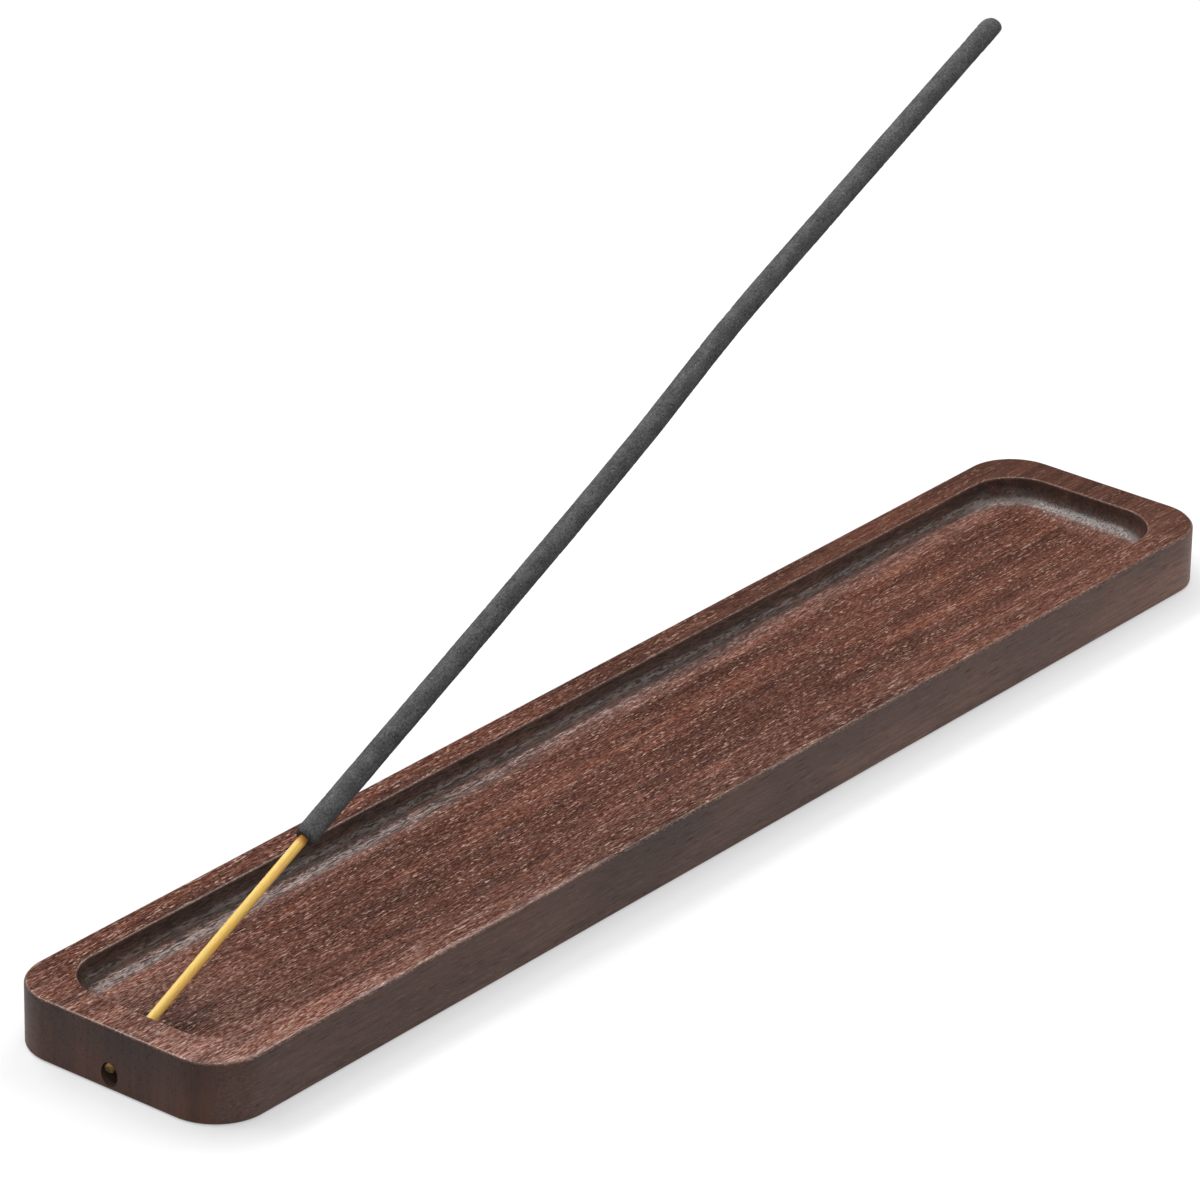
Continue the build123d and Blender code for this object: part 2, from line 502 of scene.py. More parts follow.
def bow(along):
    """How far the stick's centre line is off the straight at this distance along it."""
    last = len(STICK_BOW) - 1
    k = next((i for i in range(last) if along <= STICK_BOW[i + 1][0]), last - 1)
    s0, b0 = STICK_BOW[k]
    s1, b1 = STICK_BOW[k + 1]
    before = STICK_BOW[max(k - 1, 0)]
    after = STICK_BOW[min(k + 2, last)]
    slope0 = (b1 - before[1]) / (s1 - before[0])
    slope1 = (after[1] - b0) / (after[0] - s0)
    step = s1 - s0
    t = (along - s0) / step
    return (
        b0 * (1 + 2 * t) * (1 - t) ** 2
        + slope0 * step * t * (1 - t) ** 2
        + b1 * t * t * (3 - 2 * t)
        + slope1 * step * t * t * (t - 1)
    )


def stick_point(along, radius, turn):
    """A point of the stick, this far along it, out from its centre line and round it from the top."""
    centre = CUT_END + STICK_DIRECTION * along + BOW_DIRECTION * bow(along)
    return centre + (STICK_LIFT * cos(turn) + STICK_SIDE * sin(turn)) * radius


def stick_piece(name, rings):
    """A closed skin through rings of (along, radius) pairs, one pair a step, with a point at each end."""
    steps = len(rings[0])
    vertices = []
    grain = []
    for ring in rings:
        for k, (along, radius) in enumerate(ring):
            turn = 2 * pi * k / steps
            vertices.append(stick_point(along, radius, turn))
            grain.append((along, radius * cos(turn), radius * sin(turn)))
    for ring in (rings[0], rings[-1]):
        along = sum(a for a, _ in ring) / steps
        vertices.append(stick_point(along, 0, 0))
        grain.append((along, 0, 0))
    faces = []
    for r in range(len(rings) - 1):
        for k in range(steps):
            a = r * steps + k
            b = r * steps + (k + 1) % steps
            faces.append((a, a + steps, b + steps, b))
    first = len(vertices) - 2
    last_ring = (len(rings) - 1) * steps
    for k in range(steps):
        m = (k + 1) % steps
        faces.append((k, m, first))
        faces.append((last_ring + m, last_ring + k, first + 1))
    piece = new_piece(name, vertices, faces)
    layer = piece.data.attributes.new("grain", "FLOAT_VECTOR", "POINT")
    layer.data.foreach_set("vector", np.array(grain, np.float32).ravel())
    return piece


def splint_radius(along, k):
    """The splint's radius at this step round it, with shallow ridges along its fibres."""
    turn = 2 * pi * k / SPLINT_STEPS
    ridge = round_noise(turn, 3.2, along / (14 * MM))
    fine = round_noise(turn, 9, 5 + along / (30 * MM))
    return SPLINT_RADIUS - RIDGE_DEPTH * (0.8 + 0.5 * ridge + 0.3 * fine)


def splint_piece():
    """The bamboo core, with a rough cut end that has a broken edge."""
    steps = range(SPLINT_STEPS)
    rings = []
    for share in CUT_SHARES:
        rough = [CUT_ROUGHNESS * noise.noise(Vector((k * 0.9, share * 7, 2.5))) for k in steps]
        rings.append([(CUT_DISH + rough[k], splint_radius(0, k) * share) for k in steps])
    rings.append([(0.0, splint_radius(0, k) - EDGE_BREAK) for k in steps])
    stations = list(np.arange(EDGE_BREAK, BARE_LENGTH + 2 * MM, SPLINT_SPACING))
    stations += list(np.linspace(BARE_LENGTH + 4 * MM, SPLINT_LENGTH, HIDDEN_RINGS))
    for along in stations:
        rings.append([(along, splint_radius(along, k)) for k in steps])
    return stick_piece("bamboo_core", rings)


def coat_relief(along, turn):
    """How far lumps, grit and pits move the paste's skin out or in."""
    spot = Vector((along, COAT_FOOT_RADIUS * cos(turn), COAT_FOOT_RADIUS * sin(turn)))
    lump = noise.noise(spot / (5.0 * MM))
    grit = noise.noise(spot / (0.55 * MM) + Vector((9, 9, 9)))
    fine = noise.noise(spot / (0.30 * MM) + Vector((4, 4, 4)))
    pit = max(0.0, noise.noise(spot / (0.8 * MM) + Vector((2, 7, 1))) - 0.30)
    return (0.030 * lump + 0.022 * grit + 0.014 * fine - 0.16 * pit) * MM


def coat_radius(along, turn):
    """The paste's radius: a slight taper, with its relief."""
    share = (along - BARE_LENGTH) / (COAT_END - BARE_LENGTH)
    return COAT_FOOT_RADIUS + (COAT_TIP_RADIUS - COAT_FOOT_RADIUS) * share + coat_relief(along, turn)


def coat_foot(turn):
    """Where along the stick the paste's ragged foot begins."""
    return BARE_LENGTH + COAT_FOOT_RAGGED * round_noise(turn, 2.2, 6.4)


def tip_wear(turn):
    """How far the tip's edge is worn in and worn back: furthest on its upper left."""
    aside = (1 + cos(turn - pi / 4)) / 2
    return (0.28 + 0.55 * aside) * MM, (0.8 + 1.2 * aside) * MM


def coat_foot_rings():
    """Rings from inside the bore out over the paste's foot."""
    rings = [[(SPLINT_LENGTH, COAT_BORE * 0.5)] * COAT_STEPS, [(SPLINT_LENGTH, COAT_BORE)] * COAT_STEPS]
    rings.append([(coat_foot(turn) + COAT_BORE_DEPTH, COAT_BORE) for turn in COAT_TURNS])
    for share in COAT_FOOT_SHARES:
        ring = []
        for turn in COAT_TURNS:
            foot = coat_foot(turn)
            rim = coat_radius(foot, turn)
            hollow = 0.05 * MM * sin(pi * share) + 0.06 * MM * round_noise(turn, 5 * share, 1.3)
            ring.append((foot + hollow * 0.8, COAT_BORE + (rim - COAT_FOOT_ROUND - COAT_BORE) * share))
        rings.append(ring)
    return rings


def coat_body_rings():
    """Rings from the paste's rounded foot to the shoulder of its tip."""
    count = int((COAT_END - BARE_LENGTH) / COAT_SPACING)
    rings = []
    for i in range(count + 1):
        share = i / count
        ring = []
        for turn in COAT_TURNS:
            foot = coat_foot(turn)
            _, drop = tip_wear(turn)
            along = foot + (COAT_END - drop - foot) * share
            lip = COAT_FOOT_ROUND * max(0.0, 1 - (along - foot) / COAT_FOOT_REACH) ** 2
            ring.append((along, coat_radius(along, turn) - lip))
        rings.append(ring)
    return rings


def coat_tip_rings():
    """Rings from the tip's shoulder round its worn edge, and over its slightly bulging face."""
    rings = []
    for turn_in in np.linspace(0, pi / 2, COAT_TIP_RINGS)[1:]:
        ring = []
        for turn in COAT_TURNS:
            inset, drop = tip_wear(turn)
            shoulder = COAT_END - drop
            radius = coat_radius(shoulder, turn) - inset * (1 - cos(turn_in))
            ring.append((shoulder + drop * sin(turn_in), radius))
        rings.append(ring)
    edge = rings[-1]
    for share in COAT_FACE_SHARES:
        bulge = COAT_FACE_BULGE * (1 - share ** 2)
        ring = []
        for turn, (along, radius) in zip(COAT_TURNS, edge):
            grit = 0.6 * coat_relief(COAT_END, turn + 3 * share)
            ring.append((along + bulge + grit, radius * share))
        rings.append(ring)
    return rings


def coat_piece():
    """The dried paste: slightly tapered, lumpy and pitted, ragged at its foot and worn askew at its tip."""
    return stick_piece("incense_paste", coat_foot_rings() + coat_body_rings() + coat_tip_rings())


class Finish:
    """A material, with short calls that add its nodes and link them."""

    def __init__(self, name, attribute=None):
        self.material = bpy.data.materials.new(name)
        self.material.use_nodes = True
        self.tree = self.material.node_tree
        self.surface = self.tree.nodes["Principled BSDF"]
        self.coordinates = self.tree.nodes.new("ShaderNodeTexCoord")
        self.place = self.coordinates.outputs["Object"]
        if attribute:
            self.place = self.attribute(attribute, "Vector")

    def put(self, value, socket):
        """Links a node's output to the socket, or sets the socket to a plain value."""
        if isinstance(value, bpy.types.NodeSocket):
            self.tree.links.new(value, socket)
        else:
            socket.default_value = value

    def attribute(self, name, output="Fac"):
        node = self.tree.nodes.new("ShaderNodeAttribute")
        node.attribute_name = name
        return node.outputs[output]

    def parts(self, vector):
        node = self.tree.nodes.new("ShaderNodeSeparateXYZ")
        self.put(vector, node.inputs[0])
        return node.outputs

    def noise(self, sizes, detail=2.0, roughness=0.5, distortion=0.0, shift=0.0):
        """Noise whose grains have about these sizes along X, Y and Z, from 0 to 1."""
        mapping = self.tree.nodes.new("ShaderNodeMapping")
        self.put(self.place, mapping.inputs["Vector"])
        mapping.inputs["Location"].default_value = (shift, shift, shift)
        mapping.inputs["Scale"].default_value = tuple(1 / s for s in sizes)
        node = self.tree.nodes.new("ShaderNodeTexNoise")
        self.put(mapping.outputs["Vector"], node.inputs["Vector"])
        node.inputs["Scale"].default_value = 1.0
        node.inputs["Detail"].default_value = detail
        node.inputs["Roughness"].default_value = roughness
        node.inputs["Distortion"].default_value = distortion
        return node.outputs["Fac"]

    def spread(self, value, low, high, to_low=0.0, to_high=1.0):
        """Eases the value from one range to another, and stops at its ends."""
        node = self.tree.nodes.new("ShaderNodeMapRange")
        node.interpolation_type = "SMOOTHSTEP"
        for name, number in (
            ("Value", value), ("From Min", low), ("From Max", high), ("To Min", to_low), ("To Max", to_high)
        ):
            self.put(number, node.inputs[name])
        return node.outputs["Result"]

    def math(self, operation, first, second=0.0):
        node = self.tree.nodes.new("ShaderNodeMath")
        node.operation = operation
        self.put(first, node.inputs[0])
        self.put(second, node.inputs[1])
        return node.outputs[0]

    def add(self, first, second):
        return self.math("ADD", first, second)

    def less(self, first, second):
        return self.math("SUBTRACT", first, second)

    def times(self, first, second):
        return self.math("MULTIPLY", first, second)

    def most(self, first, second):
        return self.math("MAXIMUM", first, second)

    def blend(self, share, under, over, mode="MIX"):
        """Colours mixed by a share from 0 to 1."""
        node = self.tree.nodes.new("ShaderNodeMix")
        node.data_type = "RGBA"
        node.blend_type = mode
        for name, value in (("Factor_Float", share), ("A_Color", under), ("B_Color", over)):
            socket = next(s for s in node.inputs if s.identifier == name)
            self.put(value if isinstance(value, (float, bpy.types.NodeSocket)) else (*value, 1.0), socket)
        return next(s for s in node.outputs if s.identifier == "Result_Color")

    def tint(self, under, over, share=1.0):
        """A colour multiplied by another, by a share from 0 to 1."""
        return self.blend(share, under, over, "MULTIPLY")

    def grey(self, value):
        """A number as a grey colour, to multiply others with."""
        node = self.tree.nodes.new("ShaderNodeCombineColor")
        for socket in node.inputs:
            self.put(value, socket)
        return node.outputs[0]

    def bump(self, height, distance, strength):
        node = self.tree.nodes.new("ShaderNodeBump")
        node.inputs["Strength"].default_value = strength
        node.inputs["Distance"].default_value = distance
        self.put(height, node.inputs["Height"])
        self.put(node.outputs["Normal"], self.surface.inputs["Normal"])

    def colour(self, value):
        self.put(value, self.surface.inputs["Base Color"])

    def set(self, **values):
        """Sets or links the shader's own sockets, such as Roughness."""
        for name, value in values.items():
            self.put(value, self.surface.inputs[name.replace("_", " ")])


def walnut_places(wood):
    """Where a point of the tray lies, and how far it belongs to each surface, from 0 to 1."""
    nx, _, nz = wood.parts(wood.coordinates.outputs["Normal"])
    x, y, z = wood.parts(wood.place)
    length = wood.math("ABSOLUTE", x)
    width = wood.math("ABSOLUTE", y)
    up = wood.spread(nz, 0.72, 0.93)
    rim = wood.most(wood.spread(width, *RIM_FROM_Y), wood.spread(length, *RIM_FROM_X))
    rim = wood.most(rim, wood.spread(z, *RIM_FROM_Z))
    trough = wood.less(1.0, rim)
    return SimpleNamespace(
        x=x, y=y, z=z, nz=nz, length=length, up=up, rim=rim, trough=trough,
        near_rim=wood.spread(y, -17 * MM, -15 * MM, 1.0, 0.0),
        end=wood.spread(wood.math("ABSOLUTE", nx), 0.6, 0.95),
        side=wood.times(rim, wood.spread(up, 0.0, 1.0, 1.0, 0.0)),
        steep=wood.times(trough, wood.spread(nz, 0.60, 0.985, 1.0, 0.0)),
    )


def walnut_noises(wood):
    """The wood's noises, broad ones first, most of them drawn out along the grain."""
    return SimpleNamespace(
        bands=wood.noise((150 * MM, 5 * MM, 24 * MM), 3.0, 0.55, 0.5),
        zones=wood.noise((60 * MM, 8 * MM, 40 * MM), 1.0, shift=3.0),
        drift=wood.noise((24 * MM, 2.4 * MM, 12 * MM), 2.0, shift=61.0),
        smudge=wood.noise((4 * MM, 1.0 * MM, 1.0 * MM), 2.0, shift=71.0),
        fibre=wood.noise((8 * MM, 0.42 * MM, 0.42 * MM), 2.0, 0.6, shift=11.0),
        rows=wood.noise((5 * MM, 0.50 * MM, 0.50 * MM), 1.0, shift=53.0),
        pores=wood.noise((3.4 * MM, 0.24 * MM, 0.24 * MM), 1.0, shift=23.0),
        slits=wood.noise((2.4 * MM, 0.30 * MM, 0.30 * MM), 1.0, shift=83.0),
        dots=wood.noise((1.05 * MM, 0.18 * MM, 0.18 * MM), 1.0, shift=15.0),
        grain=wood.noise((1.0 * MM, 0.17 * MM, 0.17 * MM), 1.5, 0.6, shift=5.0),
        rubbed=wood.noise((0.5 * MM, 0.22 * MM, 0.22 * MM), 1.0, 0.6, shift=41.0),
        end_lines=wood.noise((300 * MM, 1.4 * MM, 16 * MM), 3.0, 0.6, shift=31.0),
    )


def walnut_marks(wood, at, noises):
    """The wood's small marks, from 0 to 1: pale flecks painted as glints, open pores, and pits in the cove.
    """
    glint_flecks = wood.add(wood.times(noises.dots, 0.64), wood.times(noises.rows, 0.36))
    pits = wood.most(
        wood.spread(noises.dots, 0.35, 0.44, 1.0, 0.0), wood.spread(noises.slits, 0.57, 0.63))
    cove = wood.times(at.trough, wood.spread(at.nz, 0.988, 0.999, 1.0, 0.0))
    return SimpleNamespace(
        glint_flecks=wood.spread(glint_flecks, 0.580, 0.66),
        pores=wood.spread(noises.pores, 0.61, 0.72),
        pits=wood.times(pits, cove),
    )


def walnut_base(wood, at, noises):
    """The wood's tones: bands, darker zones, and a lighter tone along the near side."""
    tone = wood.blend(wood.spread(noises.bands, 0.32, 0.70), WALNUT_DARK, WALNUT_LIGHT)
    tone = wood.blend(wood.spread(noises.zones, 0.35, 0.65, 0.0, 0.56), tone, WALNUT_ZONE)
    return wood.blend(wood.spread(at.y, -10 * MM, -5 * MM, 0.36, 0.0), tone, WALNUT_NEAR_SIDE)


def walnut_pale(wood, at, tone):
    """Paler places: the rim and floor by the stick, and a painted highlight glow on the floor by the walls
    and on the cove's foot.
    """
    near_side = wood.spread(at.y, -15 * MM, 16 * MM, 0.56, 0.0)
    long_rim = wood.spread(at.x, -118 * MM, -30 * MM, near_side, 0.0)
    end_rim = wood.spread(at.x, -113 * MM, -110 * MM, 0.24, 0.0)
    rim = wood.times(at.rim, wood.add(long_rim, end_rim))
    near_floor = wood.times(at.trough, wood.spread(at.x, -112 * MM, -70 * MM, 0.58, 0.0))
    tone = wood.blend(wood.times(at.up, wood.add(rim, near_floor)), tone, WALNUT_PALE)

    floor = wood.times(at.up, at.trough)
    # Painted glow where the cove's highlight spreads onto the floor by the walls
    painted_glow_by_wall = wood.most(
        wood.spread(at.y, 9.8 * MM, 13.0 * MM), wood.spread(at.x, 104.5 * MM, 109 * MM))
    painted_glow_by_wall = wood.times(floor, painted_glow_by_wall)
    painted_glow_by_wall = wood.times(painted_glow_by_wall, wood.spread(at.x, -110 * MM, 110 * MM, 0.58, 0.52))
    painted_glow_by_wall = wood.times(painted_glow_by_wall, wood.spread(at.x, 100 * MM, 107 * MM, 1.0, 0.6))
    tone = wood.blend(painted_glow_by_wall, tone, WALNUT_PAINTED_GLOW_BY_WALL)

    # Painted highlight on the cove's tilted foot, standing in for the lamp light it lacks
    cove_foot = wood.times(floor, wood.spread(at.nz, 0.93, 0.995, 1.0, 0.0))
    cove_foot = wood.times(cove_foot, wood.spread(at.x, 10 * MM, 60 * MM, 0.0, 0.16))
    cove_foot = wood.times(cove_foot, wood.spread(at.x, 92 * MM, 104 * MM, 1.0, 0.0))
    return wood.blend(cove_foot, tone, WALNUT_PAINTED_COVE_FOOT_HIGHLIGHT)


def walnut_dark(wood, at, tone):
    """Darker places: painted shade on the floor round the stick's foot, the middle of the near rim, and the
    far end's rim.
    """
    # Painted shade on the floor round the stick's foot and the hole's lip
    painted_shade_by_stick = wood.times(at.trough, wood.spread(at.x, -107 * MM, -88 * MM, 0.80, 0.0))
    painted_shade_by_stick = wood.times(painted_shade_by_stick, wood.spread(at.y, -9.5 * MM, -3 * MM))
    painted_shade_by_stick = wood.times(painted_shade_by_stick, wood.spread(at.y, 3 * MM, 10 * MM, 1.0, 0.0))
    tone = wood.blend(painted_shade_by_stick, tone, WALNUT_PAINTED_SHADE_BY_STICK)
    near_rim = wood.times(at.near_rim, wood.spread(at.length, 20 * MM, 55 * MM, 0.70, 0.0))
    tone = wood.blend(near_rim, tone, WALNUT_NEAR_RIM)
    far_rim = wood.times(wood.times(at.up, at.rim), wood.spread(at.x, 104 * MM, 112 * MM, 0.0, 0.70))
    return wood.blend(far_rim, tone, WALNUT_FAR_RIM)


def walnut_walls(wood, at, noises, tone):
    """The trough's walls, greyed with ash and darkened with painted shade, and the tray's sides, greyed low
    down with a painted floor reflection, paler low down with painted bounce light, and darker towards the
    near end.
    """
    smudges = wood.spread(noises.smudge, 0.35, 0.65, 0.6, 1.4)
    # Ash on the trough's walls, darkened with painted shade of the recess
    ash_and_shade_share = wood.times(wood.spread(at.x, -112 * MM, -20 * MM, 0.62, 0.54), smudges)
    ash_and_shade = wood.times(at.trough, wood.spread(at.up, 0.0, 1.0, ash_and_shade_share, 0.0))
    ash_and_shade_tone = wood.blend(wood.spread(at.x, 98 * MM, 106 * MM), ASH_AND_SHADE_BROWN, ASH_AND_SHADE_GREY)
    tone = wood.blend(ash_and_shade, tone, ash_and_shade_tone)

    # Painted floor reflection: the long sides greyer low down
    painted_sheen_share = wood.times(
        wood.spread(at.z, 1 * MM, 9 * MM, 0.72, 0.36), wood.spread(at.end, 0.0, 1.0, 1.0, 0.0))
    painted_sheen_tone = wood.blend(painted_sheen_share, tone, WALNUT_SIDE_PAINTED_SHEEN)
    # Painted bounce light: the sides paler low down; also darker towards the near end
    painted_side_light = wood.times(
        wood.spread(at.z, 1 * MM, 9 * MM, 1.66, 0.88), wood.spread(at.x, -110 * MM, 110 * MM, 0.70, 1.20))
    return wood.blend(at.side, tone, wood.tint(painted_sheen_tone, wood.grey(painted_side_light)))


def streak_share(wood, at):
    """How strong the pores' streaks are: most on the rim, along the near side and by the stick."""
    coarse = wood.most(at.near_rim, wood.spread(at.x, -70 * MM, -20 * MM, 1.0, 0.0))
    coarse = wood.times(wood.times(coarse, at.rim), wood.spread(at.x, -50 * MM, 60 * MM, 1.0, 0.45))
    return wood.spread(coarse, 0.0, 1.0, 0.75, 1.0)


def milled_share(wood, at):
    """How far the cutter has opened the grain, and so where the painted glints show: on the floor and the
    rim's top, and less to the far end.
    """
    far_rim = wood.spread(at.y, -10 * MM, 10 * MM, 0.60, 0.38)
    rim = wood.spread(at.x, -60 * MM, 80 * MM, 1.0, far_rim)
    rim = wood.times(rim, wood.spread(at.x, 104 * MM, 112 * MM, 1.0, 0.55))
    floor = wood.times(at.trough, wood.spread(at.x, -30 * MM, 100 * MM, 1.0, 0.66))
    milled = wood.times(at.up, wood.add(floor, wood.times(at.rim, rim)))
    return wood.spread(milled, 0.0, 1.0, 0.12, 1.0)


def walnut_grain(wood, at, noises, marks, tone):
    """The tone with its fibres, and with grain, streaks, flecks painted as glints and open pores where it was
    milled.
    """
    smooth = wood.tint(tone, wood.grey(wood.spread(noises.fibre, 0.30, 0.70, 0.74, 1.26)))
    smooth = wood.tint(smooth, wood.grey(wood.spread(noises.drift, 0.30, 0.70, 0.76, 1.24)))
    grain = wood.blend(wood.spread(noises.grain, 0.41, 0.68), GRAIN_LOW, GRAIN_HIGH)
    streaks = wood.blend(wood.spread(noises.pores, 0.36, 0.64), STREAK_LOW, STREAK_HIGH)
    milled = wood.tint(smooth, grain)
    milled = wood.tint(milled, streaks, streak_share(wood, at))
    # Pale flecks painted as glints
    milled = wood.blend(wood.times(marks.glint_flecks, 0.88), milled, FLECK_GLINT)
    milled = wood.blend(wood.times(marks.pores, 0.70), milled, PORE)
    return wood.blend(milled_share(wood, at), smooth, milled)


def walnut_ends(wood, at, noises, tone, colour):
    """End grain on the tray's two ends: fine lines across the plain tone."""
    lines = wood.grey(wood.spread(noises.end_lines, 0.32, 0.68, 0.50, 0.78))
    return wood.blend(wood.times(at.end, at.rim), colour, wood.tint(tone, lines))


def walnut_wear_and_glints(wood, at, noises, colour):
    """Edges pale in spots, partly wear and partly painted glints, with a painted highlight line on the
    trough's far edge by the stick.
    """
    spots = wood.spread(wood.spread(noises.rubbed, 0.47, 0.64), 0.0, 1.0, 0.04, 0.40)
    far_edge = wood.times(
        wood.spread(at.y, 14 * MM, 15.5 * MM), wood.spread(at.y, 17.5 * MM, 18.5 * MM, 1.0, 0.0))
    # Painted highlight line on the trough's far edge
    painted_edge_highlight = wood.times(far_edge, wood.spread(at.x, -60 * MM, -20 * MM, 0.19, 0.0))
    wear_and_glint = wood.times(wood.attribute("wear_and_glint"), wood.add(spots, painted_edge_highlight))
    wear_and_glint = wood.times(wear_and_glint, wood.spread(at.x, -117.3 * MM, -114 * MM, 0.40, 1.0))
    return wood.blend(wear_and_glint, colour, WORN_EDGE_AND_GLINT)


def walnut_cove_highlight_and_pits(wood, at, marks, colour):
    """A painted highlight on the cove, at the far end and along the far wall by the stick, with dark pits in
    it.
    """
    # Painted highlight on the far end's cove and on the far wall's cove by the stick
    far_highlight = wood.times(wood.spread(at.nz, 0.58, 0.78), wood.spread(at.nz, 0.88, 0.97, 1.0, 0.0))
    far_highlight = wood.times(far_highlight, wood.spread(at.x, 97 * MM, 104 * MM, 0.0, 0.45))
    near_highlight = wood.times(wood.spread(at.nz, 0.88, 0.95), wood.spread(at.nz, 0.982, 0.995, 1.0, 0.0))
    near_highlight = wood.times(near_highlight, wood.spread(at.x, -60 * MM, 0.0, 0.30, 0.0))
    near_highlight = wood.times(near_highlight, wood.spread(at.y, 7 * MM, 10 * MM))
    colour = wood.blend(wood.times(at.trough, wood.add(far_highlight, near_highlight)), colour, PAINTED_COVE_HIGHLIGHT)
    dark_pits = wood.times(marks.pits, wood.spread(at.x, -40 * MM, 20 * MM, 0.82, 0.45))
    return wood.blend(dark_pits, colour, PIT)


def walnut_gloss(wood, at, noises, marks):
    """A satin that is duller in the cove, on the sides and worn edges, and in pits and pores."""
    roughness = wood.spread(noises.fibre, 0.2, 0.8, 0.18, 0.25)
    worn = wood.attribute("wear_and_glint")
    for share, amount in (
        (at.steep, 0.14), (at.side, 0.32), (worn, 0.16), (marks.pits, 0.40), (marks.pores, 0.4)
    ):
        roughness = wood.add(roughness, wood.times(share, amount))
    wood.set(Roughness=roughness, Specular_IOR_Level=0.40)


def walnut_relief(wood, at, noises, marks):
    """Raised flecks and fibres, sunk pores and pits, and an uneven cove."""
    height = wood.less(wood.times(marks.glint_flecks, 0.5), marks.pores)
    height = wood.times(wood.less(1.0, at.end), height)
    height = wood.add(height, wood.times(noises.fibre, wood.spread(at.steep, 0.0, 1.0, 0.6, 2.4)))
    height = wood.less(height, wood.times(marks.pits, 2.0))
    height = wood.add(height, wood.times(wood.times(at.steep, noises.smudge), 12.0))
    wood.bump(height, 0.03 * MM, 0.22)


def walnut():
    """Oiled walnut: bands and fibres along X, open pores, pale flecks painted as glints where it was milled,
    edges pale with wear and painted glints, and painted shade and highlights in its trough and on its sides.
    """
    wood = Finish("walnut")
    at = walnut_places(wood)
    noises = walnut_noises(wood)
    marks = walnut_marks(wood, at, noises)
    tone = walnut_base(wood, at, noises)
    tone = walnut_pale(wood, at, tone)
    tone = walnut_dark(wood, at, tone)
    tone = walnut_walls(wood, at, noises, tone)
    colour = walnut_grain(wood, at, noises, marks, tone)
    colour = walnut_ends(wood, at, noises, tone, colour)
    colour = walnut_wear_and_glints(wood, at, noises, colour)
    wood.colour(walnut_cove_highlight_and_pits(wood, at, marks, colour))
    walnut_gloss(wood, at, noises, marks)
    walnut_relief(wood, at, noises, marks)
    return wood.material


def drilled_walnut():
    """The hole's wall: dark, with fine rings from the drill."""
    wood = Finish("drilled_walnut")
    rings = wood.noise((0.35 * MM, 3 * MM, 3 * MM), 2.0)
    wood.colour(wood.blend(wood.spread(rings, 0.3, 0.7), DRILLED_DARK, DRILLED_LIGHT))
    wood.set(Roughness=0.75, Specular_IOR_Level=0.25)
    wood.bump(rings, 0.05 * MM, 0.5)
    return wood.material


def bamboo_cut_end(cane, along, gy, gz, colour):
    """The splint's lower end at the hole's mouth: darkened with painted shade, with a cut face painted dark
    brown with shade, darkest in its middle.
    """
    # Painted shade on the splint's end in the hole
    hole_shade = cane.spread(along, 0.1 * MM, 1.6 * MM, 0.92, 0.0)
    colour = cane.blend(hole_shade, colour, BAMBOO_HOLE_SHADE)
    from_axis = cane.math("SQRT", cane.add(cane.times(gy, gy), cane.times(gz, gz)))
    shaded_middle = cane.spread(from_axis, 0.20 * MM, 0.60 * MM, 1.0, 0.0)
    cut = cane.spread(along, 0.04 * MM, 0.14 * MM, 1.0, 0.0)
    return cane.blend(cut, colour, cane.blend(shaded_middle, BAMBOO_SHADED_CUT, BAMBOO_SHADED_MIDDLE))


def bamboo():
    """Split bamboo: pale gold with darker fibres and dashes, warmer and darker with painted shade on its
    lower side, and stained where the paste begins.
    """
    cane = Finish("bamboo", "grain")
    along, gy, gz = cane.parts(cane.place)
    fibre = cane.noise((16 * MM, 0.16 * MM, 0.16 * MM), 3.0, 0.6)
    cloud = cane.noise((5 * MM, 0.9 * MM, 0.9 * MM), 2.0, shift=7.0)
    dash = cane.spread(cane.noise((1.8 * MM, 0.10 * MM, 0.10 * MM), 1.0, shift=17.0), 0.60, 0.72)
    colour = cane.blend(cane.spread(fibre, 0.3, 0.7), BAMBOO_GOLD, BAMBOO_PALE)
    colour = cane.blend(cane.spread(cloud, 0.35, 0.75, 0.0, 0.28), colour, BAMBOO_CLOUD)
    colour = cane.blend(cane.times(dash, 0.35), colour, BAMBOO_DASH)
    # Painted shade on the splint's lower side
    painted_shade_side = cane.spread(cane.add(gy, gz), -1.05 * MM, -0.20 * MM, 0.70, 0.0)
    colour = cane.blend(painted_shade_side, colour, BAMBOO_PAINTED_SHADE_SIDE)
    stain = cane.spread(along, BARE_LENGTH - 1.5 * MM, BARE_LENGTH - 0.2 * MM, 0.0, 0.90)
    colour = cane.blend(stain, colour, BAMBOO_STAIN)
    cane.colour(bamboo_cut_end(cane, along, gy, gz, colour))
    cane.set(Roughness=cane.spread(fibre, 0.2, 0.8, 0.46, 0.62), Specular_IOR_Level=0.30)
    cane.set(Subsurface_Weight=0.8, Subsurface_Radius=(1.0, 0.6, 0.2), Subsurface_Scale=1.0 * MM)
    cane.bump(fibre, 0.03 * MM, 0.5)
    return cane.material


